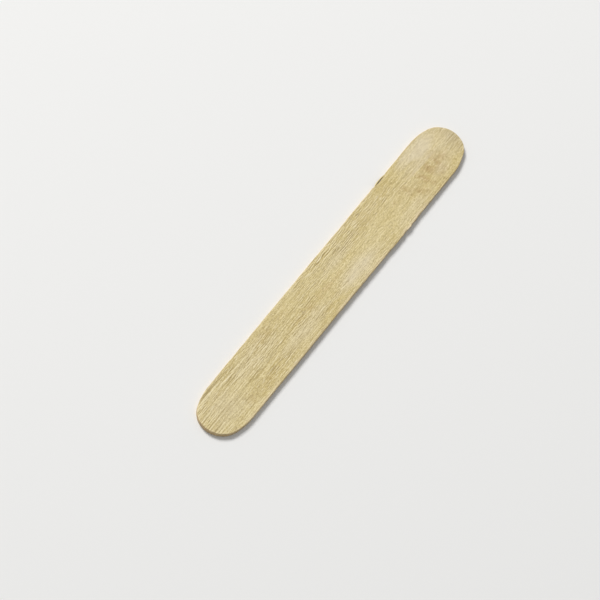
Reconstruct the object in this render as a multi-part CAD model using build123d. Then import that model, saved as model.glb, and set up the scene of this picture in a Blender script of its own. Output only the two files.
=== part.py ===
"""Wooden tongue depressor, adult size: one flat strip of birch, cut from veneer with a shaped punch.

The plan is two straight parallel sides. Each end is a round nose, which a long gentle shoulder leads into.
The strip has one thickness all over, and tumbling has rounded the edges of both broad faces.

Frame, in millimetres: +X runs along the strip, +Y across it, +Z up through its thickness.
The origin is the centre of the lower face, which the strip rests on.
"""

import math
import os

from build123d import *

# Driving dimensions
length = 150.0  # tip to tip
width = 18.0  # across the straight sides
thickness = 1.6  # of the veneer
shoulder_radius = 25.0  # of the long arc that leads each side into the nose
nose_reduction = 1.0  # how much less than half the width the nose radius is
edge_radius = 0.25  # of the rounding that tumbling leaves along both faces

# No round takes more than this share of the thickness, so a thin strip keeps a wall between its two rounds
edge_share_limit = 0.45


def end_arcs():
    """The arcs of one end: (x where the side ends, the shoulder's turn in degrees, the nose's radius)."""
    half_width = width / 2
    nose_radius = half_width - nose_reduction
    nose_centre_x = length / 2 - nose_radius

    # The nose's circle touches the shoulder's from inside, so their centres are the radii's difference apart
    centre_distance = shoulder_radius - nose_radius
    centre_offset = shoulder_radius - half_width
    shoulder_turn = math.acos(centre_offset / centre_distance)
    side_end_x = nose_centre_x - centre_distance * math.sin(shoulder_turn)
    return side_end_x, math.degrees(shoulder_turn), nose_radius


def plan_outline():
    """The strip from above: a quarter drawn tangent to tangent, then mirrored across both centre lines."""
    side_end_x, shoulder_turn, nose_radius = end_arcs()
    nose_turn = 90.0 - shoulder_turn
    with BuildSketch() as plan:
        with BuildLine():
            side = Line((0, width / 2), (side_end_x, width / 2))
            shoulder = JernArc(side @ 1, side % 1, radius=shoulder_radius, arc_size=-shoulder_turn)
            JernArc(shoulder @ 1, shoulder % 1, radius=nose_radius, arc_size=-nose_turn)
            mirror(about=Plane.XZ)
            mirror(about=Plane.YZ)
        make_face()
    return plan.sketch


def tongue_depressor():
    """The outline raised to the veneer's thickness, with the rims of both broad faces rounded."""
    with BuildPart() as strip:
        add(plan_outline())
        extrude(amount=thickness)
        rims = strip.faces().sort_by(Axis.Z)[0].edges() + strip.faces().sort_by(Axis.Z)[-1].edges()
        fillet(rims, radius=min(edge_radius, edge_share_limit * thickness))
    return strip.part


os.makedirs("parts", exist_ok=True)
export_step(tongue_depressor(), "parts/tongue_depressor.step")
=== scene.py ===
# Birch tongue depressor, dressed for the studio. Metres throughout: +X along the grain, +Y across it, +Z up.
import math

import bpy
import numpy as np
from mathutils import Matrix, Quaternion, Vector


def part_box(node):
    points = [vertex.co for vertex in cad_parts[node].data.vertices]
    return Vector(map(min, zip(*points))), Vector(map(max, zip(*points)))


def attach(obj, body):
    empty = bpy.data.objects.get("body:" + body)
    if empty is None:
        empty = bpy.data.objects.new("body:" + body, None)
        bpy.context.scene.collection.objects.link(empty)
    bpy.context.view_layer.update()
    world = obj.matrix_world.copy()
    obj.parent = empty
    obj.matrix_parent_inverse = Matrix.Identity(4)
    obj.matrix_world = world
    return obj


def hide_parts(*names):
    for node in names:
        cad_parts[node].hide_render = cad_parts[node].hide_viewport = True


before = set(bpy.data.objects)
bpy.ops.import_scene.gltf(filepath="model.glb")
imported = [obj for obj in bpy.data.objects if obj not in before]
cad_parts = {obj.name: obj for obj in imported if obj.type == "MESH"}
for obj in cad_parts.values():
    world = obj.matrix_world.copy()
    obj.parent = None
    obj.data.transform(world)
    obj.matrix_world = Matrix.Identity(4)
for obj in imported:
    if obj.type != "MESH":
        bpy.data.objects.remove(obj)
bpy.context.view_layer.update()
stripLow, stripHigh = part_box("tongue_depressor")
length, width, thickness = stripHigh - stripLow
mm = 0.001


# Node helpers

def addNode(tree, kind, values=None, **settings):
    # A new node with its settings. Each value is a number, a colour or another node's output.
    made = tree.nodes.new(kind)
    for name, value in settings.items():
        setattr(made, name, value)
    for key, value in (values or {}).items():
        if isinstance(value, bpy.types.NodeSocket):
            tree.links.new(value, made.inputs[key])
        else:
            made.inputs[key].default_value = value
    return made


def calculate(tree, operation, a, b=0.0):
    # a (operation) b
    return addNode(tree, "ShaderNodeMath", {0: a, 1: b}, operation=operation).outputs[0]


def spread(tree, value, low, high, toLow=0.0, toHigh=1.0):
    # Carries low..high to toLow..toHigh, and holds the ends.
    values = {"Value": value, "From Min": low, "From Max": high, "To Min": toLow, "To Max": toHigh}
    return addNode(tree, "ShaderNodeMapRange", values).outputs["Result"]


def mixColour(tree, factor, a, b):
    # a where the factor is 0, b where it is 1
    return addNode(tree, "ShaderNodeMix", {0: factor, 6: a, 7: b}, data_type="RGBA").outputs[2]


def attribute(tree, name):
    # A mask that the mesh carries
    return addNode(tree, "ShaderNodeAttribute", attribute_name=name).outputs["Fac"]


def linear(colour):
    # From a colour as seen, out of 255, to the linear light that a shader works in.
    c = np.array(colour) / 255
    return (*np.where(c < 0.04045, c / 12.92, ((c + 0.055) / 1.055) ** 2.4), 1)


def newMaterial(name):
    # A material, its node tree and its one shader
    made = bpy.data.materials.new(name)
    made.use_nodes = True
    return made, made.node_tree, made.node_tree.nodes["Principled BSDF"]


# Camera and light

cameraView = {
    "azimuth": -72.8,  # degrees round the strip; 0 looks along +Y
    "elevation": 56.3,  # degrees above the upper face
    "roll": 19.2,  # degrees that the camera leans, anticlockwise seen from behind it
    "distance": 1960 * mm,
    "lens": 360,  # mm
    "sensor": 36,  # mm, across
    "aim": (-14.4 * mm, 3.7 * mm, thickness),  # the point of the upper face in the middle of the picture
}


def backwards(azimuth, elevation):
    # Unit vector from the strip to a camera or lamp: round by azimuth, up by elevation, both in degrees.
    a, e = math.radians(azimuth), math.radians(elevation)
    return Vector((math.sin(a) * math.cos(e), -math.cos(a) * math.cos(e), math.sin(e)))


def lookAlong(thing, back, roll=0.0):
    # Puts a camera or lamp in the scene, facing against back and leaning by roll about its line of sight.
    lean = Quaternion((0, 0, 1), math.radians(roll))
    thing.rotation_mode = "QUATERNION"
    thing.rotation_quaternion = (-back).to_track_quat("-Z", "Y") @ lean
    bpy.context.scene.collection.objects.link(thing)


def addCamera(look):
    # Stands back from the aim and faces it.
    back = backwards(look["azimuth"], look["elevation"])
    lens = bpy.data.cameras.new("photoView")
    lens.sensor_width = look["sensor"]
    lens.lens = look["lens"]
    camera = bpy.data.objects.new("photoView", lens)
    camera.location = Vector(look["aim"]) + back * look["distance"]
    lookAlong(camera, back, look["roll"])
    bpy.context.scene.camera = camera


addCamera(cameraView)

studio = {
    "lampAzimuth": 155,  # degrees; the light comes from the upper left of the picture
    "lampElevation": 42,
    "lampDistance": 3000 * mm,
    "lampSize": 1100 * mm,
    "lampPower": 84.0,  # watts
    "lampColour": (1.0, 0.985, 0.96),
    "skyColour": (0.97, 0.985, 1.0),
    "skyStrength": 0.38,
    "floorColour": (0.86, 0.86, 0.855),
    "floorRoughness": 0.9,
    "floorShine": 0.1,
    "floorSide": 4000 * mm,
    "floorDrop": 0.02 * mm,  # a hair below the strip, so that the two faces don't coincide
}


def addLamp(light):
    # A square soft lamp that faces the strip.
    lamp = bpy.data.lights.new("softLamp", "AREA")
    lamp.shape = "SQUARE"
    lamp.size = light["lampSize"]
    lamp.energy = light["lampPower"]
    lamp.color = light["lampColour"]
    lampObject = bpy.data.objects.new("softLamp", lamp)
    back = backwards(light["lampAzimuth"], light["lampElevation"])
    lampObject.location = back * light["lampDistance"]
    lookAlong(lampObject, back)


def addSky(light):
    # An even dim sky, white where the camera, a reflection or a view through glass meets it.
    sky = bpy.data.worlds.new("studioSky")
    sky.use_nodes = True
    tree = sky.node_tree
    rays = addNode(tree, "ShaderNodeLightPath").outputs
    seen = calculate(tree, "MAXIMUM", rays["Is Camera Ray"], rays["Is Glossy Ray"])
    seen = calculate(tree, "MAXIMUM", seen, rays["Is Transmission Ray"])
    strength = spread(tree, seen, 0.0, 1.0, light["skyStrength"], 1.0)
    background = tree.nodes["Background"]
    background.inputs["Color"].default_value = (*light["skyColour"], 1)
    tree.links.new(strength, background.inputs["Strength"])
    bpy.context.scene.world = sky


def addFloor(light):
    # A square of matt pale paper just under the strip.
    half = light["floorSide"] / 2
    height = stripLow.z - light["floorDrop"]
    floorMesh = bpy.data.meshes.new("floor")
    corners = [(-half, -half, height), (half, -half, height), (half, half, height), (-half, half, height)]
    floorMesh.from_pydata(corners, [], [(0, 1, 2, 3)])
    floor = bpy.data.objects.new("floor", floorMesh)
    bpy.context.scene.collection.objects.link(floor)
    paper, _, shader = newMaterial("floorPaper")
    shader.inputs["Base Color"].default_value = (*light["floorColour"], 1)
    shader.inputs["Roughness"].default_value = light["floorRoughness"]
    shader.inputs["Specular IOR Level"].default_value = light["floorShine"]
    floorMesh.materials.append(paper)


addLamp(studio)
addSky(studio)
addFloor(studio)
bpy.context.scene.view_settings.view_transform = "Standard"
print("camera and light are up")


# Fields of wood, which the shapes and the colours share

fieldCells = {
    "along": 0.15 * mm,
    "across": 0.05 * mm,
    "spare": 1.5 * mm,  # beyond the strip on every side
    "held": 1.001,  # cells from the far edge where a sample is held, so that it still has a next cell
}
fieldRows = int((width + 2 * fieldCells["spare"]) / fieldCells["across"])
fieldColumns = int((length + 2 * fieldCells["spare"]) / fieldCells["along"])

noiseSeeds = {  # every noise has its own, so the ones that count on from a first number stay apart too
    "drift": 11,
    "wander": 21,
    "nicks": 22,
    "cut": 23,
    "frayed": 24,
    "rim": 25,
    "upper": (31, 38),  # a face's first ones, for its patches and layers and for its torn marks
    "lower": (51, 58),
    "patches": 61,  # the first colour's
    "blots": 65,
    "splinter": (71, 72, 73),
    "fibres": 81,
}


def woodNoise(seed, long, wide, apart=0.0):
    # White noise through a soft window of frequencies, exp(-2 pi^2 (a^2 + b^2)) with a = fx long and
    # b = (|fy| - 1 / apart) wide, then scaled to a mean of 0 and a deviation of 1. Lengths are in mm.
    # With no spacing apart it is blots as long and wide as given, and with one it is lines that far apart.
    noise = np.random.default_rng(seed).standard_normal((fieldRows, fieldColumns))
    perAcross = np.abs(np.fft.fftfreq(fieldRows, fieldCells["across"] / mm))[:, None]
    perAlong = np.fft.rfftfreq(fieldColumns, fieldCells["along"] / mm)[None, :]
    middle = 1 / apart if apart else 0.0
    window = np.exp(-2 * math.pi**2 * (((perAcross - middle) * wide) ** 2 + (perAlong * long) ** 2))
    field = np.fft.irfft2(np.fft.rfft2(noise) * window, s=noise.shape)
    return (field - field.mean()) / field.std()


def sample(field, x, y):
    # The field at points of the strip, blended between its four nearest cells.
    spare, held = fieldCells["spare"], fieldCells["held"]
    column = np.clip((x + length / 2 + spare) / fieldCells["along"], 0, fieldColumns - held)
    row = np.clip((y + width / 2 + spare) / fieldCells["across"], 0, fieldRows - held)
    c, r = column.astype(int), row.astype(int)
    u, v = column - c, row - r
    lower = field[r, c] * (1 - u) + field[r, c + 1] * u
    upper = field[r + 1, c] * (1 - u) + field[r + 1, c + 1] * u
    return lower * (1 - v) + upper * v


def easeStep(low, high, value):
    # 0 below low, 1 above high, and 3t^2 - 2t^3 between them.
    t = np.clip((value - low) / (high - low), 0, 1)
    return t * t * (3 - 2 * t)


faceRelief = {
    "places": (-75, -62, -46, -8, 16, 40, 55, 67, 75),  # mm along the strip, for each layer's shares
    "layers": {  # long, wide and apart in mm, height in mm as a deviation, and its share at each place
        "wave": (12, 3.5, 0, 0.022, (1, 1, 1, 1, 1, 1, 1, 1, 1)),
        "ridge": (9, 0.45, 0, 0.006, (1, 1, 1, 1, 0.8, 0.45, 0.35, 0.35, 0.6)),
        "combed": (4.5, 0.32, 1.15, 0.006, (1.25, 0.78, 0.52, 0.4, 0.3, 0.2, 0.1, 0.1, 1.0)),
        "dash": (0.55, 0.3, 0.62, 0.006, (0.8, 0.8, 1.05, 1.35, 1.65, 1.15, 0.5, 0.5, 1.3)),
        "group": (6, 0.35, 1.6, 0, (0.7, 0.6, 0.35, 0.2, 0.1, 0, 0, 0, 0.3)),
    },
    "lineLayers": ("combed", "dash", "group"),  # dark furrows as painted shade, pale crests as painted highlight; group is colour alone, as grain
    "driftNoise": (22, 3),  # long and wide in mm
    "drift": 0.12 * mm,  # how far the fibres wander from straight
    "patchNoise": (5, 1.6),  # of the patches where lines and tears are strong
    "patchMean": 0.85,  # how strong they are on the whole
    "patchSwing": 0.35,  # how much that varies, as a deviation
    "patchEnds": (0.15, 1.4),  # the weakest and the strongest
    "roughShares": (0.4, 0.5, 1.0, 1.0, 0.8, 0.5, 0.25, 0.3, 0.8),  # how torn the wood is at each place
    "torn": (1.0, 0.14, 1.2, 2.8),  # long, wide, and where the field starts and ends to tear
    "tornDepth": 0.06 * mm,
    "tuft": (0.8, 0.14, 1.2, 2.6),
    "tuftHeight": 0.04 * mm,
    "highest": 0.05 * mm,  # above the mean face, where the relief is cut off
}
driftField = woodNoise(noiseSeeds["drift"], *faceRelief["driftNoise"])


def fibreDrift(x, y):
    # Sideways wander of the fibres, the same for shapes and colours.
    return faceRelief["drift"] * sample(driftField, x, y)


def faceFields(x, y, side, share=1.0):
    # Height of a face over its mean level, with the masks that colour it. Each layer of noise adds its
    # height times its share at x. Grooves are torn where one more noise is high, and tufts stand where
    # another is. A share under 1 calms the lines, the grooves and the tufts.
    relief = faceRelief
    patchSeed, markSeed = noiseSeeds[side]
    line = y + fibreDrift(x, y)
    patch = relief["patchSwing"] * sample(woodNoise(patchSeed, *relief["patchNoise"]), x, y)
    patch = (relief["patchMean"] + patch).clip(*relief["patchEnds"])
    height, lines = 0.0, 0.0
    for seed, (name, layer) in enumerate(relief["layers"].items(), patchSeed + 1):
        long, wide, apart, high, shares = layer
        part = sample(woodNoise(seed, long, wide, apart), x, line)
        part = part * np.interp(x / mm, relief["places"], shares)
        if name in relief["lineLayers"]:
            part = part * patch * share
            lines = lines + part
        height = height + part * high * mm
    rough = np.interp(x / mm, relief["places"], relief["roughShares"]) * share * patch
    fields = {"rough": rough, "lines": lines}
    marks = {"torn": -relief["tornDepth"], "tuft": relief["tuftHeight"]}
    for seed, (name, size) in enumerate(marks.items(), markSeed):
        long, wide, start, full = relief[name]
        fields[name] = easeStep(start, full, sample(woodNoise(seed, long, wide), x, line)) * rough
        height = height + fields[name] * size
    fields["height"] = np.minimum(height, relief["highest"]) - relief["highest"]
    return fields


# Patches of other colour in the wood, and one of painted grey shade over the far tip: middle along and
# across and half sizes, in mm, and how far they go
colourPatches = {
    "ochre": (
        (72, 1, 5, 7, 0.3),
        (59.5, -2.1, 8, 4.6, 1.0),
        (50, -2.8, 8, 5.2, 0.95),
        (43.5, -0.6, 6, 3.2, 0.6),
        (30, 5, 9, 2.2, 0.45),
        (-12, -0.4, 15, 1.5, 0.45),
        (-30, 5.5, 12, 2.0, 0.3),
        (-50, -5, 12, 1.8, 0.25),
    ),
    "cream": (
        (61, 5.0, 12, 4.6, 0.85),
        (69, 1.0, 9, 7.0, 0.45),
        (61, -5.0, 5, 2.4, 0.4),
        (40, -6.5, 10, 2.0, 0.3),
        (8, -5.0, 13, 3.2, 0.75),
        (8, 3, 9, 2.5, 0.35),
        (-22, -4, 13, 2.8, 0.45),
        (-44, 3, 13, 4.0, 0.35),
        (-64, 1, 9, 6.0, 0.4),
    ),
    # Painted grey shade over the far tip
    "tipShade": ((75.5, -1.5, 6, 8.0, 0.42),),
}

patchShape = {
    "fade": (0.2, 1.35),  # where a patch starts and ends to fade, in half sizes
    "streaks": (3, 0.4, 0.11),  # long and wide in mm, and how far they draw out its rim, in half sizes
    "blots": {  # long and wide in mm, and how far they break it up
        "ochre": (0.7, 1.9, 0.8),
        "cream": (1.2, 0.6, 0.15),
        "tipShade": (0.9, 0.3, 0.4),
    },
    "blotEnds": (-0.9, 0.9),  # where their noise starts and ends to make a blot, in deviations
}


def patchField(x, y, name):
    # How strong a colour's patches are: 1 inside and 0 far out, by r, the distance in half sizes. A noise
    # draws the rim out into streaks along the grain, and the blots of another break the patch up. The
    # ochre's are wider than long, like the bars of a rippled figure.
    shape = patchShape
    number = list(colourPatches).index(name)
    line = y + fibreDrift(x, y)
    long, wide, reach = shape["streaks"]
    streaks = reach * sample(woodNoise(noiseSeeds["patches"] + number, long, wide), x, line)
    long, wide, broken = shape["blots"][name]
    blots = sample(woodNoise(noiseSeeds["blots"] + number, long, wide), x, line)
    blots = easeStep(*shape["blotEnds"], blots)
    strongest = np.zeros(np.shape(x))
    for alongMiddle, acrossMiddle, halfLong, halfWide, strength in colourPatches[name]:
        r = np.hypot((x / mm - alongMiddle) / halfLong, (y / mm - acrossMiddle) / halfWide)
        strongest = np.maximum(strongest, strength * (1 - easeStep(*shape["fade"], r + streaks)))
    return strongest * (1 - broken * blots)


# The strip

stripShape = {
    "shoulderRadius": 25 * mm,  # of the long arc that leads each side into the nose
    "noseRadius": width / 2 - 1.0 * mm,  # of the arc round each tip
    "edgeRadius": 0.25 * mm,  # of the rounding along both faces
    "noseSteps": 46,  # grid steps along a quarter of the outline
    "shoulderSteps": 34,
    "sideSteps": 166,
    "faceRings": 56,  # grid steps from the middle line out to the rounding
    "faceCrowding": 1.12,  # over 1 crowds those steps towards the edge
    "roundRings": 4,
    "wallRings": 8,
    "lowerRings": 18,
    "middleShare": 0.89,  # the middle line's length, as a share of the outline's
    "lowerShare": 0.7,  # how rough the lower face is beside the upper one
}

edgeWearAndLight = {
    "rimWidth": 1.15 * mm,  # of the pale band beside the edge, partly wear and partly painted light
    "rimCore": 0.4,  # the share of it that is worn all through
    "rimPatchy": 0.4,  # how much its strength varies along the edge
    "rimNoise": (2.2, 2.0),  # long and wide of those patches, in mm
    "rimFar": 0.3,  # its strength along the +Y side, which the lamp lights, when it is 1 along the -Y side in its shade
    "rimBelow": 0.35,  # its strength below, and how far down the wall it reaches, as shares
    "rimPlaces": (-75, -20, -6, 10, 25, 40, 48, 75),  # mm along the strip, for its shares there
    "rimShares": (0.35, 0.45, 0.95, 0.45, 1.15, 1.0, 0.1, 0.1),
    "wander": (3.5, 2.0, 0.03 * mm),  # long and wide in mm, and size of the outline's slow waviness
    "nicks": (0.4, 0.2, 0.025 * mm),  # of the fine raggedness all round
    "frayed": (0.5, 0.16, 0.055 * mm),  # of the coarse raggedness along one stretch of the -Y side
    "frayedFrom": (-6, 10, 46, 56),  # mm along the strip: where it starts, is full from and to, and ends
    "ledges": (  # slivers left standing on that side: the same four for each, and its size
        (14, 26, 30.4, 31.0, 0.2 * mm),
        (31.6, 32.1, 33.9, 34.9, 0.36 * mm),
    ),
    "ledgeReach": (0.15, 0.6),  # where they start and end to thin, as shares of the way down the wall
    "chip": (38.0, 46.0),  # the start and end of the split behind the lifted splinter, on the +Y side
    "chipDepth": 0.47 * mm,
    "chipPower": 0.8,  # under 1 makes its two ends blunter
    "chipSlope": 1.0,  # the share of that depth that is lost by the foot of the wall
    "cut": (0.5, 0.25, 0.018 * mm),  # long, wide and depth of the marks that the punch leaves on the wall
    "cutReach": 2,  # deviations at which the noise of those marks is held
    "cutShift": 5 * mm,  # between the rows of that noise which the two sides read
}


def endArcs(shape):
    # The x of the nose's centre and of the side's end, the distance between the two arcs' centres, and how
    # far the shoulder's centre is past the middle line. The nose touches the shoulder from inside, so the
    # distance is the difference of their radii.
    noseCentre = length / 2 - shape["noseRadius"]
    reach = shape["shoulderRadius"] - shape["noseRadius"]
    drop = shape["shoulderRadius"] - width / 2
    return noseCentre, noseCentre - math.sqrt(reach**2 - drop**2), reach, drop


def stripOutline(shape):
    # A quarter of the outline is a nose arc, a shoulder arc tangent to it and half a side; mirrors give the
    # rest. Returns points and outward unit normals, anticlockwise from the far tip.
    noseCentre, sideEnd, reach, drop = endArcs(shape)
    noseTurn = math.asin(drop / reach)
    nose = np.linspace(0, noseTurn, shape["noseSteps"], endpoint=False)
    shoulder = np.linspace(noseTurn, math.pi / 2, shape["shoulderSteps"], endpoint=False)
    side = np.linspace(sideEnd, 0, shape["sideSteps"] + 1)
    x = np.concatenate([
        noseCentre + shape["noseRadius"] * np.cos(nose),
        sideEnd + shape["shoulderRadius"] * np.cos(shoulder),
        side,
    ])
    y = np.concatenate([
        shape["noseRadius"] * np.sin(nose),
        shape["shoulderRadius"] * np.sin(shoulder) - drop,
        np.full(side.size, width / 2),
    ])
    turn = np.concatenate([nose, shoulder, np.full(side.size, math.pi / 2)])
    quarter = np.stack([x, y, np.cos(turn), np.sin(turn)], 1)
    upper = np.concatenate([quarter, quarter[-2::-1] * (-1, 1, -1, 1)])
    ring = np.concatenate([upper, upper[-2:0:-1] * (1, -1, 1, -1)])
    return ring[:, :2], ring[:, 2:]


def ringLadder(shape):
    # Each ring's share of the way from the middle line to the rounding, its angle over the edge, which is
    # 0 facing up, 90 degrees out and 180 down, and its share of the way down the wall.
    out = 1 - (1 - np.linspace(0, 1, shape["faceRings"] + 1)[1:]) ** shape["faceCrowding"]
    quarterTurn = np.linspace(0, math.pi / 2, shape["roundRings"] + 1)[1:]
    wall = np.linspace(0, 1, shape["wallRings"] + 1)[1:]
    back = np.linspace(1, 0, shape["lowerRings"] + 1)[1:-1]
    rounds, walls, backs = quarterTurn.size, wall.size, back.size
    share = np.concatenate([out, np.ones(2 * rounds + walls), back])
    angle = np.concatenate([
        np.zeros(out.size),
        quarterTurn,
        np.full(walls, math.pi / 2),
        math.pi / 2 + quarterTurn,
        np.full(backs, math.pi),
    ])
    down = np.concatenate([np.zeros(out.size + rounds), wall, np.ones(rounds + backs)])
    return share, angle, down


def between(stops, x):
    # Eases from 0 to 1 between the first two stops and back to 0 between the last two, all in mm.
    return easeStep(stops[0], stops[1], x / mm) * (1 - easeStep(stops[2], stops[3], x / mm))


def chipAlong(outline, wear):
    # sin(pi t)^power over the split behind the lifted splinter, and 0 elsewhere
    start, end = wear["chip"]
    t = ((outline[:, 0] / mm - start) / (end - start)).clip(0, 1)
    return np.sin(math.pi * t) ** wear["chipPower"] * (outline[:, 1] > 0)


def edgeInset(outline, down, wear):
    # How far the worn edge stands out (+) or in (-) of the punched outline, at each ring and outline point.
    # The finer marks change down the wall as well, y (1 - 2 down thickness / width), as fibres in layers do.
    x, y = outline.T
    down = down[:, None]
    layer = y * (1 - 2 * thickness / width * down)
    long, wide, size = wear["wander"]
    inset = np.minimum(size * sample(woodNoise(noiseSeeds["wander"], long, wide), x, y) - size, 0)
    long, wide, size = wear["nicks"]
    nicks = sample(woodNoise(noiseSeeds["nicks"], long, wide), x + 0 * down, layer)
    inset = inset + np.minimum(size * nicks, 0)
    long, wide, size = wear["frayed"]
    frayed = between(wear["frayedFrom"], x) * (y < 0)
    inset = inset + frayed * size * sample(woodNoise(noiseSeeds["frayed"], long, wide), x + 0 * down, layer)
    for *stops, size in wear["ledges"]:
        inset = inset + between(stops, x) * (y < 0) * size * (1 - easeStep(*wear["ledgeReach"], down))
    return inset - chipAlong(outline, wear) * wear["chipDepth"] * (1 - wear["chipSlope"] * down)


def arcAlong(outline):
    # Length along the closed outline at each point, with the whole length as one value more.
    steps = np.hypot(*(np.roll(outline, -1, 0) - outline).T)
    return np.concatenate([[0], np.cumsum(steps)])


chartPlaces = {  # where each part lies in the square of the chart, from and to
    "along": (0.005, 0.995),
    "upper": (0.005, 0.445),
    "lower": (0.455, 0.895),
    "wallA": (0.905, 0.945),
    "wallB": (0.955, 0.995),
}


def stripCharts(outline, spine, x, y, depth, wallStart, wallEnd, spineIndex, nextSpine):
    # A flat chart of every face's corners: both broad faces seen straight on, and the edge between them
    # unrolled in two halves, one for each long side.
    def onto(row, u, v):
        start, end = chartPlaces["along"]
        low, high = chartPlaces[row]
        return np.stack(np.broadcast_arrays(start + (end - start) * u, low + (high - low) * v), -1)

    count = len(outline)
    nextOne = (np.arange(count) + 1) % count
    corners = []
    flat = {name: onto(name, x / length + 0.5, y / width + 0.5) for name in ("upper", "lower")}
    middle = {name: onto(name, spine[:, 0] / length + 0.5, spine[:, 1] / width + 0.5) for name in flat}
    top, line = flat["upper"][0], middle["upper"]
    corners.append(np.stack([line[spineIndex], top, top[nextOne], line[nextSpine]], 1))
    arc = arcAlong(outline)
    half = arc[count // 2]
    isBack = np.arange(count) >= count // 2
    left = (arc[:-1] - isBack * half) / half
    right = (arc[1:] - isBack * half) / half
    for ring in range(len(x) - 1):
        if wallStart <= ring < wallEnd:
            v = (depth[ring] - depth[wallStart]) / (depth[wallEnd] - depth[wallStart])
            w = (depth[ring + 1] - depth[wallStart]) / (depth[wallEnd] - depth[wallStart])
            quads = []
            for u, high in ((left, v), (left, w), (right, w), (right, v)):
                pair = onto("wallA", u, high), onto("wallB", u, high)
                quads.append(np.where(isBack[:, None], pair[1], pair[0]))
            corners.append(np.stack(quads, 1))
        else:
            name = "upper" if ring < wallStart else "lower"
            inner, outer = flat[name][ring], flat[name][ring + 1]
            corners.append(np.stack([inner, outer, outer[nextOne], inner[nextOne]], 1))
    low, line = flat["lower"][-1], middle["lower"]
    corners.append(np.stack([low, line[spineIndex], line[nextSpine], low[nextOne]], 1))
    return np.concatenate(corners).reshape(-1, 2)


def buildStrip(shape, wear):
    # Rings run from a middle line M out over the upper face to the outline E, round the rim, and back below
    # to M: P = M + (E - M) share, then + N r sin(angle) and up or down by r cos(angle). Relief moves P along
    # the direction of its angle.
    outline, normal = stripOutline(shape)
    count = len(outline)
    share, angle, down = ringLadder(shape)
    middle = outline * (shape["middleShare"], 0)
    radius = shape["edgeRadius"]
    sine, cosine = np.sin(angle)[:, None], np.cos(angle)[:, None]

    inset = edgeInset(outline, down, wear)
    rim = outline + normal * (inset - radius)[..., None]
    place = middle[None] + (rim - middle[None]) * share[:, None, None]
    place = place + normal[None] * (radius * sine)[..., None]
    x, y = place[..., 0], place[..., 1]
    top, bottom = stripHigh.z - radius, stripLow.z + radius
    z = np.broadcast_to((top + (bottom - top) * down)[:, None] + radius * cosine, x.shape)
    inwards = np.hypot(*(rim + normal[None] * radius - place).transpose(2, 0, 1))

    upper = faceFields(x, y, "upper")
    lower = faceFields(x, y, "lower", shape["lowerShare"])
    isUpper = cosine > 0
    fields = {key: np.where(isUpper, upper[key], lower[key]) for key in upper}
    wallShare = sine**2 * (inwards < radius)
    # The wall reads its noise by the way along it, -length / 2 at the far tip and length / 2 at the near one
    run = arcAlong(outline)
    run = (2 * np.minimum(run, run[-1] - run)[:-1] / run[-1] - 0.5) * length
    long, wide, depthOfCut = wear["cut"]
    cut = sample(woodNoise(noiseSeeds["cut"], long, wide), run + 0 * z, z + normal[:, 1] * wear["cutShift"])
    cut = cut.clip(-wear["cutReach"], wear["cutReach"]) - wear["cutReach"]
    height = fields["height"] * cosine**2 + wallShare * depthOfCut * cut
    points = np.stack([
        x + normal[:, 0] * sine * height,
        y + normal[:, 1] * sine * height,
        z + cosine * height,
    ], -1)

    # The middle line is stored once for each face, because both halves of a ring start from it
    spineCount = count // 2 + 1
    spine = middle[:spineCount]
    upperSpine = faceFields(*spine.T, "upper")
    lowerSpine = faceFields(*spine.T, "lower", shape["lowerShare"])
    above = np.column_stack([spine, stripHigh.z + upperSpine["height"]])
    below = np.column_stack([spine, stripLow.z - lowerSpine["height"]])
    points = np.concatenate([above, points.reshape(-1, 3), below])

    i = np.arange(count)
    nextOne = (i + 1) % count
    spineIndex = np.minimum(i, count - i)
    nextSpine = np.minimum(nextOne, count - nextOne)
    rings = len(share)
    start = spineCount + np.arange(rings)[:, None] * count
    inner, outer = start[:-1], start[1:]
    body = np.stack([inner + i, outer + i, outer + nextOne, inner + nextOne], -1).reshape(-1, 4)
    first = np.stack([spineIndex, start[0] + i, start[0] + nextOne, nextSpine], -1)
    lastSpine = spineCount + rings * count
    last = np.stack([start[-1] + i, lastSpine + spineIndex, lastSpine + nextSpine, start[-1] + nextOne], -1)
    faces = np.concatenate([first, body, last])

    def perPoint(aboveValue, ringValue, belowValue):
        # One value for every point: upper middle line, rings, lower middle line.
        grid = np.broadcast_to(ringValue, x.shape).ravel()
        ends = [np.broadcast_to(value, spineCount) for value in (aboveValue, belowValue)]
        return np.concatenate([ends[0], grid, ends[1]])

    # Pale edge band: partly wear, partly painted light on the rounding, strongest where the lamp leaves it
    # in shade.
    wearAndLight = 1 - wear["rimPatchy"] * (1 - sample(woodNoise(noiseSeeds["rim"], *wear["rimNoise"]), x, y))
    wearAndLight = wearAndLight * (1 - easeStep(wear["rimCore"] * wear["rimWidth"], wear["rimWidth"], inwards))
    wearAndLight = wearAndLight * (1 - easeStep(0, wear["rimBelow"], down)[:, None]) * isUpper.clip(wear["rimBelow"], 1)
    wearAndLight = wearAndLight * np.interp(normal[:, 1], (-1, 1), (1, wear["rimFar"]))
    wearAndLight = wearAndLight * np.interp(outline[:, 0] / mm, wear["rimPlaces"], wear["rimShares"])
    onRings = {"rough": fields["rough"]}
    for name in ("torn", "tuft", "lines"):
        onRings[name] = fields[name] * cosine**2
    masks = {name: perPoint(upperSpine[name], value, lowerSpine[name]) for name, value in onRings.items()}
    masks["wall"] = perPoint(0, wallShare, 0)
    masks["rim"] = perPoint(0, wearAndLight, 0)
    masks["endGrain"] = perPoint(0, wallShare * np.abs(normal[:, 0]), 0)
    # Painted shade on the wall of the split behind the splinter
    masks["slitShade"] = perPoint(0, wallShare * chipAlong(outline, wear), 0)
    onSpine = fibreDrift(*spine.T)
    masks["drift"] = perPoint(onSpine, fibreDrift(x, y), onSpine)
    for name in colourPatches:
        onSpine = patchField(*spine.T, name)
        masks[name] = perPoint(onSpine, patchField(x, y, name), onSpine)

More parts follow.
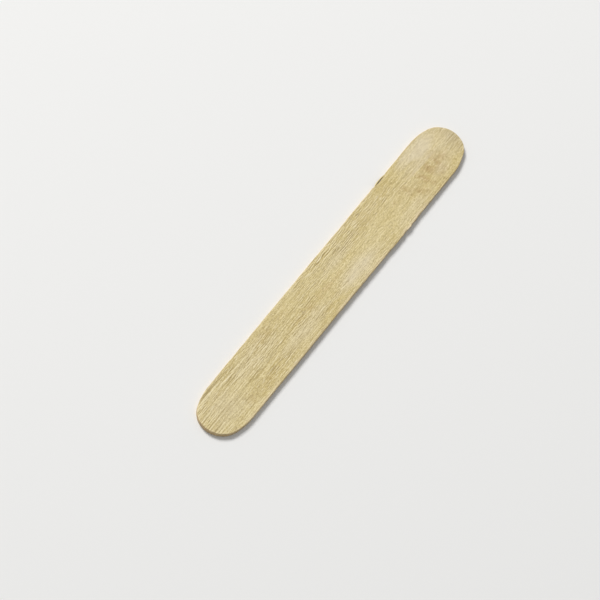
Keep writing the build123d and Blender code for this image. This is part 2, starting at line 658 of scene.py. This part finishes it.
    wallStart = shape["faceRings"] - 1
    wallEnd = wallStart + 2 * shape["roundRings"] + shape["wallRings"]
    straightDown = (top - bottom) * down
    depth = radius * angle + straightDown
    chart = stripCharts(outline, spine, x, y, depth, wallStart, wallEnd, spineIndex, nextSpine)
    return points, faces, masks, chart


def addMesh(name, points, faces, masks=None, chart=None):
    # A smooth-shaded object at the origin. Each mask is a number on every point, and the chart its UV map.
    mesh = bpy.data.meshes.new(name)
    mesh.from_pydata(points, [], faces)
    for key, values in (masks or {}).items():
        mesh.attributes.new(key, "FLOAT", "POINT").data.foreach_set("value", values.astype(np.float32))
    if chart is not None:
        mesh.uv_layers.new(name="OFBake").data.foreach_set("uv", chart.astype(np.float32).ravel())
    mesh.polygons.foreach_set("use_smooth", np.ones(len(mesh.polygons), bool))
    mesh.update()
    piece = bpy.data.objects.new(name, mesh)
    bpy.context.scene.collection.objects.link(piece)
    return piece


strip = addMesh("birch_strip", *buildStrip(stripShape, edgeWearAndLight))
print("strip:", len(strip.data.vertices), "points,", len(strip.data.polygons), "faces")


# The splinter and the raised fibres

def sweepTubes(paths, halfWide, halfHigh, sides):
    # Closed tubes along many paths at once, P = C + S a cos(t) + U b sin(t), where C is on the path, S is
    # level and square to it and U square to both. The first and last points of a path are the tube's tips.
    count, steps = paths.shape[:2]
    ahead = np.gradient(paths, axis=1)
    ahead = ahead / np.linalg.norm(ahead, axis=2, keepdims=True)
    sideways = np.cross([0.0, 0.0, 1.0], ahead)
    sideways = sideways / np.linalg.norm(sideways, axis=2, keepdims=True)
    upwards = np.cross(ahead, sideways)
    t = np.arange(sides) * 2 * math.pi / sides
    core = slice(1, steps - 1)
    ring = paths[:, core, None] + sideways[:, core, None] * (halfWide[:, core, None] * np.cos(t))[..., None]
    ring = ring + upwards[:, core, None] * (halfHigh[:, core, None] * np.sin(t))[..., None]
    rings = steps - 2
    perTube = rings * sides + 2
    points = np.concatenate([ring.reshape(count, -1, 3), paths[:, :1], paths[:, -1:]], 1)

    k = np.arange(sides)
    after = (k + 1) % sides
    inner = np.arange(rings - 1)[:, None] * sides
    quads = np.stack([inner + k, inner + after, inner + sides + after, inner + sides + k], -1).reshape(-1, 4)
    tail = np.stack([after, k, np.full(sides, rings * sides)], -1)
    lastRing = (rings - 1) * sides
    head = np.stack([lastRing + k, lastRing + after, np.full(sides, rings * sides + 1)], -1)
    shift = (np.arange(count) * perTube)[:, None, None]
    quads = (quads + shift).reshape(-1, 4)
    tips = (np.concatenate([tail, head]) + shift).reshape(-1, 3)
    return points.reshape(-1, 3), quads.tolist() + tips.tolist()


def edgeAt(x, shape):
    # Half the strip's width at x: the side, the shoulder arc or the nose arc.
    noseCentre, sideEnd, reach, drop = endArcs(shape)
    noseStart = noseCentre + shape["noseRadius"] * (noseCentre - sideEnd) / reach
    far = np.abs(x)
    shoulder = np.sqrt((shape["shoulderRadius"] ** 2 - (far - sideEnd).clip(0) ** 2).clip(0)) - drop
    nose = np.sqrt((shape["noseRadius"] ** 2 - (far - noseCentre) ** 2).clip(0))
    return np.where(far < sideEnd, width / 2, np.where(far < noseStart, shoulder, nose))


splinterShape = {
    "from": 37.6 * mm,  # along the strip
    "to": 46.4 * mm,
    "insideEdge": 0.4 * mm,  # of its ends, from the outline
    "bulge": 0.42 * mm,  # how far its middle springs outwards
    "halfWide": 0.24 * mm,
    "halfHigh": 0.3 * mm,
    "below": 0.31 * mm,  # its middle line, under the upper face
    "rise": 0.02 * mm,  # of its middle
    "archPower": 1.5,  # over 1 keeps its ends close to the wood for longer
    "thinPower": 0.6,  # under 1 keeps it thick until near its tips
    "line": (0.7, 0.5, 0.04 * mm),  # long and wide in mm, and size, of the unevenness of its middle line
    "wide": (0.5, 0.5, 0.2),  # the same for its width and its height, as shares of them
    "high": (0.6, 0.5, 0.12),
    "steps": 60,
    "sides": 14,
}


def buildSplinter(shape):
    # A flattened tube along the edge: it springs out by bulge sin(pi t)^archPower and thins by
    # sin(pi t)^thinPower towards both tips.
    t = np.linspace(0, 1, shape["steps"])
    x = shape["from"] + (shape["to"] - shape["from"]) * t
    arch = np.sin(math.pi * t) ** shape["archPower"]
    thin = np.sin(math.pi * t) ** shape["thinPower"]
    uneven = {}
    for seed, name in zip(noiseSeeds["splinter"], ("line", "wide", "high")):
        long, wide, size = shape[name]
        uneven[name] = size * sample(woodNoise(seed, long, wide), x, 0 * x)
    y = width / 2 - shape["insideEdge"] + shape["bulge"] * arch + uneven["line"] * arch
    z = stripHigh.z - shape["below"] + shape["rise"] * arch
    halfWide = shape["halfWide"] * thin * (1 + uneven["wide"])
    halfHigh = shape["halfHigh"] * thin * (1 + uneven["high"])
    return sweepTubes(np.stack([x, y, z], -1)[None], halfWide[None], halfHigh[None], shape["sides"])


splinter = addMesh("lifted_splinter", *buildSplinter(splinterShape))

fibreShape = {
    "onFace": 360,  # how many stand on the upper face
    "onEdge": 160,  # and along the frayed stretch of the -Y side
    "underneath": 60,
    "counted": (0, 0.12, 0.62, 0.85, 1),  # the share of those on the faces that lies short of each place
    "places": (-72, -52, 0, 42, 72),  # mm along the strip
    "inside": 0.75 * mm,  # how far from the outline their middles stay
    "edgeBand": (0.08, 0.4),  # the same for the edge's own, in mm: the least, and how much more
    "clear": 0.05 * mm,  # how far inside the outline every point stays
    "steps": 9,
    "sides": 4,
    "length": (0.9 * mm, 3.4 * mm),
    "edgeLength": 0.8,  # of the edge's own, as a share
    "thickness": (0.035 * mm, 0.08 * mm),
    "turn": 4.0,  # degrees off the grain, as a deviation
    "curl": 0.09,  # sideways bend, as a share of the length
    "lift": (0.01 * mm, 0.045 * mm),  # of the middle over the face
    "sunk": 0.03 * mm,  # how deep the ends are in the wood
    "taper": (0.04, 0.96),  # where along it the thinning to its tips stops
    "taperPower": 0.5,
}


def buildFibres(shape, strip, wear):
    # Thin tapered tubes that leave the wood, arch over it and return: z = face + lift sin(pi t) - sunk, and
    # y bends sideways by curl times 4 t (1 - t). Most lie where the veneer is rough. Over the rounded edge
    # they come down by over^2 / (2 radius), as the rounding does.
    random = np.random.default_rng(noiseSeeds["fibres"])
    many = shape["onFace"] + shape["onEdge"] + shape["underneath"]
    x = np.interp(random.random(many), shape["counted"], shape["places"]) * mm
    y = (2 * random.random(many) - 1) * (edgeAt(x, strip) - shape["inside"])
    isEdge = np.arange(many) >= shape["onFace"] + shape["underneath"]
    isLower = (np.arange(many) >= shape["onFace"]) & ~isEdge
    frayedStart, *_, frayedEnd = wear["frayedFrom"]
    x = np.where(isEdge, (frayedStart + (frayedEnd - frayedStart) * random.random(many)) * mm, x)
    least, more = shape["edgeBand"]
    y = np.where(isEdge, -width / 2 + (least + more * random.random(many) ** 2) * mm, y)
    long = np.exp(random.uniform(*np.log(shape["length"]), many)) * np.where(isEdge, shape["edgeLength"], 1)
    thick = random.uniform(*shape["thickness"], many)
    turn = np.radians(shape["turn"]) * random.standard_normal(many)
    curl = shape["curl"] * long * random.standard_normal(many) * random.random(many) ** 2
    lift = random.uniform(*shape["lift"], many)

    t = np.linspace(0, 1, shape["steps"])
    px = x[:, None] + long[:, None] * (t - 0.5) * np.cos(turn)[:, None]
    py = y[:, None] + long[:, None] * (t - 0.5) * np.sin(turn)[:, None] + (curl[:, None] * 4 * t * (1 - t))
    limit = edgeAt(px, strip) - shape["clear"]
    py = np.clip(py, -limit, limit)
    arch = lift[:, None] * np.sin(math.pi * t) - shape["sunk"]
    over = (np.abs(py) - (edgeAt(px, strip) - strip["edgeRadius"])).clip(0)
    slope = 0.5 * over**2 / strip["edgeRadius"]
    upper = stripHigh.z + faceFields(px, py, "upper")["height"] + arch - slope
    lower = stripLow.z - faceFields(px, py, "lower", strip["lowerShare"])["height"] - arch + slope
    taper = np.sin(math.pi * t.clip(*shape["taper"])) ** shape["taperPower"]
    half = thick[:, None] / 2 * taper
    pz = np.where(isLower[:, None], np.maximum(lower, stripLow.z + half), upper)
    return sweepTubes(np.stack([px, py, pz], -1), half, half, shape["sides"])


fibres = addMesh("raised_fibres", *buildFibres(fibreShape, stripShape, edgeWearAndLight))
print("splinter:", len(splinter.data.polygons), "faces, fibres:", len(fibres.data.polygons), "faces")


# Birch

birchColours = {  # as seen, red, green and blue out of 255
    "pale": (223, 207, 154),
    "straw": (207, 187, 122),
    "ochre": (188, 160, 103),
    "cream": (222, 209, 179),
    # painted grey shade over the far tip
    "tipShade": (172, 161, 137),
    # grain's dark and pale fibres, also painted shade in furrows and torn grooves, painted highlight on
    # crests
    "darkFibreAndShade": (146, 124, 72),
    "paleFibreAndHighlight": (238, 224, 184),
    "pore": (118, 90, 52),
    # painted highlight on the raised tufts, and the loose fibres' own paler colour
    "tuft": (240, 227, 190),
    # pale edge band: partly wear, partly painted light
    "rim": (238, 219, 184),
    "wall": (214, 191, 146),
    "wallDark": (158, 127, 82),
    "endGrain": (182, 152, 106),
    # painted shade for the split behind the splinter
    "slitShade": (66, 40, 14),
}

grainSizes = {  # long and wide of the fibres in each kind of wood
    "face": (1.0 * mm, 0.2 * mm),
    "cut": (5 * mm, 0.14 * mm),
    "loose": (1.6 * mm, 0.12 * mm),
}

grainNoises = {  # long and wide in fibre lengths and widths, the range kept, and the weight in the sum
    "fine": dict(long=1, wide=1, detail=3, rough=0.7, low=0.33, high=0.67, weight=0.18),
    "bundle": dict(long=1.3, wide=2.2, detail=2, rough=0.5, low=0.32, high=0.68, weight=0.16),
    "thread": dict(long=30, wide=1.6, detail=2, rough=0.6, low=0.34, high=0.66, weight=0.17),
    "strand": dict(long=4.5, wide=0.7, detail=2, rough=0.6, low=0.36, high=0.64, weight=0.17),
    "fleck": dict(long=0.5, wide=0.9, detail=2, rough=0.5, low=0.34, high=0.66, weight=0.32),
}

figureNoises = {  # the bend's weight is in growth lines
    "bend": dict(long=30, wide=36, detail=2, rough=0.5, low=0.0, high=1.0, weight=5.0),
    "broad": dict(long=15, wide=18, detail=2, rough=0.5, low=0.3, high=0.7, weight=0.78),
}

grainForm = {
    "growthLine": (22, 0.22),  # how wide a growth line is in fibre widths, and its weight in the figure
    "pore": (1.5, 1.4),  # long and wide of the cells that hold pores, in fibre lengths and widths
    "poreHeart": (0.12, 0.36),  # where a pore is full, and where it ends
    "poreShare": 0.5,  # how many of those cells have one
    "poreDepth": 0.8,  # where the fibres' height is 1
}

birchMix = {  # how far each colour goes over those before it, from 0 to 1
    "grainDark": (0.62, 0.22, 0.66),  # where the grain starts and ends to darken the wood, and how far
    "grainPale": (0.52, 0.8, 0.66),
    # Furrows and crests of the relief lines: painted shade and painted highlight, grain where a line has no
    # height
    "furrowShadeAndGrain": (-0.3, -2.8, 0.72),  # the same for the lines of the relief, in deviations
    "crestHighlightAndGrain": (0.4, 2.8, 0.8),
    "calm": (0.2, 0.9, 0.55),  # the cream where grain and lines start and end to fade, and what is left
    "pore": 0.5,
    # Painted shade in the torn grooves
    "torn": 0.5,
    # Painted highlight on the raised tufts
    "tuft": 0.65,
    "wall": 0.85,
    "wallDark": (0.62, 0.3, 0.75),
    "rim": 0.65,
    "endGrain": 0.45,
    "slitShade": 0.9,
    "roughness": (0.52, 0.72),  # of the smoothest and the roughest wood
    "roughest": 1.2,  # what the rough mask is there
    "bump": (0.035 * mm, 0.8),  # height and strength of the grain
}

looseMix = {  # the same for the splinter and the fibres
    "strands": (0.55, 0.2, 0.5),  # where the grain starts and ends to darken them, and how far
    "roughAt": (0.2, 0.8),  # where the grain starts and ends to change their roughness
    "roughness": (0.7, 0.5),
    "bump": (0.02 * mm, 0.7),
}


def grainGroup():
    # Birch grain from a place in metres: stretched noise for fibres, broad stretched noise for the figure,
    # and long thin Voronoi cells whose hearts are open pores, like short dark scratches.
    tree = bpy.data.node_groups.new("birchGrain", "ShaderNodeTree")
    for name, kind, value in (
        ("Vector", "NodeSocketVector", None),
        ("Fibre Length", "NodeSocketFloat", grainSizes["face"][0]),
        ("Fibre Width", "NodeSocketFloat", grainSizes["face"][1]),
        ("Pore Share", "NodeSocketFloat", grainForm["poreShare"]),
    ):
        socket = tree.interface.new_socket(name=name, in_out="INPUT", socket_type=kind)
        if value is not None:
            socket.default_value = value
    for name in ("Fibre", "Figure", "Pores", "Height"):
        tree.interface.new_socket(name=name, in_out="OUTPUT", socket_type="NodeSocketFloat")
    given = tree.nodes.new("NodeGroupInput").outputs
    result = tree.nodes.new("NodeGroupOutput")

    def stretched(lengthTimes, widthTimes):
        # The place, measured in fibre lengths along X and in fibre widths along Y and Z.
        perLength = calculate(tree, "DIVIDE", 1 / lengthTimes, given["Fibre Length"])
        perWidth = calculate(tree, "DIVIDE", 1 / widthTimes, given["Fibre Width"])
        scale = addNode(tree, "ShaderNodeCombineXYZ", {0: perLength, 1: perWidth, 2: perWidth}).outputs[0]
        values = {0: given["Vector"], 1: scale}
        return addNode(tree, "ShaderNodeVectorMath", values, operation="MULTIPLY").outputs[0]

    def noise(long, wide, detail, rough, low, high, weight):
        # The noise with what is kept of it carried to 0..1, and its weight
        values = {"Vector": stretched(long, wide), "Scale": 1.0, "Detail": detail, "Roughness": rough}
        made = addNode(tree, "ShaderNodeTexNoise", values).outputs["Fac"]
        return spread(tree, made, low, high), weight

    def blend(parts):
        # The parts added up, each times its weight.
        total = 0.0
        for value, weight in parts:
            total = calculate(tree, "ADD", total, calculate(tree, "MULTIPLY", value, weight))
        return total

    fibre = blend([noise(**one) for one in grainNoises.values()])

    # Growth lines: bands across the width that a slow noise bends into long tongues
    lineWidth, lineWeight = grainForm["growthLine"]
    across = addNode(tree, "ShaderNodeSeparateXYZ", {0: stretched(1, lineWidth)}).outputs[1]
    bands = blend([(across, 1.0), noise(**figureNoises["bend"])])
    line = calculate(tree, "SINE", calculate(tree, "MULTIPLY", bands, 2 * math.pi))
    figure = blend([noise(**figureNoises["broad"]), (spread(tree, line, -1, 1), lineWeight)])

    values = {"Vector": stretched(*grainForm["pore"]), "Scale": 1.0, "Randomness": 1.0}
    cell = addNode(tree, "ShaderNodeTexVoronoi", values)
    heart = spread(tree, cell.outputs["Distance"], *grainForm["poreHeart"], 1.0, 0.0)
    chosen = addNode(tree, "ShaderNodeSeparateXYZ", {0: cell.outputs["Color"]}).outputs[0]
    kept = calculate(tree, "LESS_THAN", chosen, given["Pore Share"])
    pores = calculate(tree, "MULTIPLY", heart, kept)

    height = blend([(fibre, 1.0), (pores, -grainForm["poreDepth"])])
    for name, value in (("Fibre", fibre), ("Figure", figure), ("Pores", pores), ("Height", height)):
        tree.links.new(value, result.inputs[name])
    return tree


def grainAt(tree, grain, place, kind):
    # What the grain puts out at a place, for one kind of wood
    long, wide = grainSizes[kind]
    values = {"Vector": place, "Fibre Length": long, "Fibre Width": wide}
    return addNode(tree, "ShaderNodeGroup", values, node_tree=grain).outputs


def addBump(tree, shader, height, bump):
    # Tilts the shader's normals as that height would
    distance, strength = bump
    values = {"Height": height, "Distance": distance, "Strength": strength}
    tree.links.new(addNode(tree, "ShaderNodeBump", values).outputs["Normal"], shader.inputs["Normal"])


def birchMaterial(name, grain, colours, mix):
    # Straw to pale by the figure, with ochre and cream patches, painted grey shade over the far tip, darker
    # and paler fibres, painted shade in the furrows and torn grooves, painted highlight on crests and tufts,
    # a pale edge band that is partly wear and partly painted light, a browner cut edge, and painted shade in
    # the split behind the splinter.
    material, tree, shader = newMaterial(name)
    place = addNode(tree, "ShaderNodeTexCoord").outputs["Object"]
    sideways = addNode(tree, "ShaderNodeCombineXYZ", {1: attribute(tree, "drift")}).outputs[0]
    place = addNode(tree, "ShaderNodeVectorMath", {0: place, 1: sideways}, operation="ADD").outputs[0]
    wood = grainAt(tree, grain, place, "face")
    cutWood = grainAt(tree, grain, place, "cut")
    colour = linear(colours["straw"])

    def lay(factor, name):
        # One more colour over those before it, as strong as the factor
        nonlocal colour
        colour = mixColour(tree, factor, colour, linear(colours[name]))

    def times(value, share):
        # value x share
        return calculate(tree, "MULTIPLY", value, share)

    def rising(value, name):
        # From 0 to the strength of that mix, between its two ends
        start, end, strength = mix[name]
        return spread(tree, value, start, end, 0.0, strength)

    start, end, left = mix["calm"]
    calm = spread(tree, attribute(tree, "cream"), start, end, 1.0, left)
    lines = times(attribute(tree, "lines"), calm)
    lay(wood["Figure"], "pale")
    lay(attribute(tree, "ochre"), "ochre")
    lay(attribute(tree, "cream"), "cream")
    # Painted grey shade over the far tip
    lay(attribute(tree, "tipShade"), "tipShade")
    lay(times(rising(wood["Fibre"], "grainDark"), calm), "darkFibreAndShade")
    lay(times(rising(wood["Fibre"], "grainPale"), calm), "paleFibreAndHighlight")
    # Painted shade in the furrows and painted highlight on the crests; grain where a line is colour alone
    lay(rising(lines, "furrowShadeAndGrain"), "darkFibreAndShade")
    lay(rising(lines, "crestHighlightAndGrain"), "paleFibreAndHighlight")
    lay(times(times(wood["Pores"], mix["pore"]), calm), "pore")
    # Painted shade in the torn grooves
    lay(times(attribute(tree, "torn"), mix["torn"]), "darkFibreAndShade")
    # Painted highlight on the raised tufts
    lay(times(attribute(tree, "tuft"), mix["tuft"]), "tuft")
    lay(times(attribute(tree, "wall"), mix["wall"]), "wall")
    lay(times(rising(cutWood["Fibre"], "wallDark"), attribute(tree, "wall")), "wallDark")
    # Pale edge band, partly wear and partly painted light
    lay(times(attribute(tree, "rim"), mix["rim"]), "rim")
    lay(times(attribute(tree, "endGrain"), mix["endGrain"]), "endGrain")
    # Painted shade in the split behind the splinter
    lay(times(attribute(tree, "slitShade"), mix["slitShade"]), "slitShade")
    tree.links.new(colour, shader.inputs["Base Color"])
    roughness = spread(tree, attribute(tree, "rough"), 0.0, mix["roughest"], *mix["roughness"])
    tree.links.new(roughness, shader.inputs["Roughness"])
    addBump(tree, shader, wood["Height"], mix["bump"])
    return material


def looseMaterial(name, grain, colours, mix, first, second):
    # Loose wood goes from the first colour to the second by the figure, with fine darker strands.
    material, tree, shader = newMaterial(name)
    place = addNode(tree, "ShaderNodeTexCoord").outputs["Object"]
    wood = grainAt(tree, grain, place, "loose")
    colour = mixColour(tree, wood["Figure"], linear(colours[first]), linear(colours[second]))
    start, end, strength = mix["strands"]
    strands = spread(tree, wood["Fibre"], start, end, 0.0, strength)
    colour = mixColour(tree, strands, colour, linear(colours["darkFibreAndShade"]))
    tree.links.new(colour, shader.inputs["Base Color"])
    roughness = spread(tree, wood["Fibre"], *mix["roughAt"], *mix["roughness"])
    tree.links.new(roughness, shader.inputs["Roughness"])
    addBump(tree, shader, wood["Height"], mix["bump"])
    return material


birchGrain = grainGroup()
strip.data.materials.append(birchMaterial("birchVeneer", birchGrain, birchColours, birchMix))
looseWood = {"birchSplinter": (splinter, "straw", "pale"), "birchFibre": (fibres, "pale", "tuft")}
for name, (piece, first, second) in looseWood.items():
    piece.data.materials.append(looseMaterial(name, birchGrain, birchColours, looseMix, first, second))
for piece in (strip, splinter, fibres):
    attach(piece, "root")
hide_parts("tongue_depressor")
print("birch is on the strip")
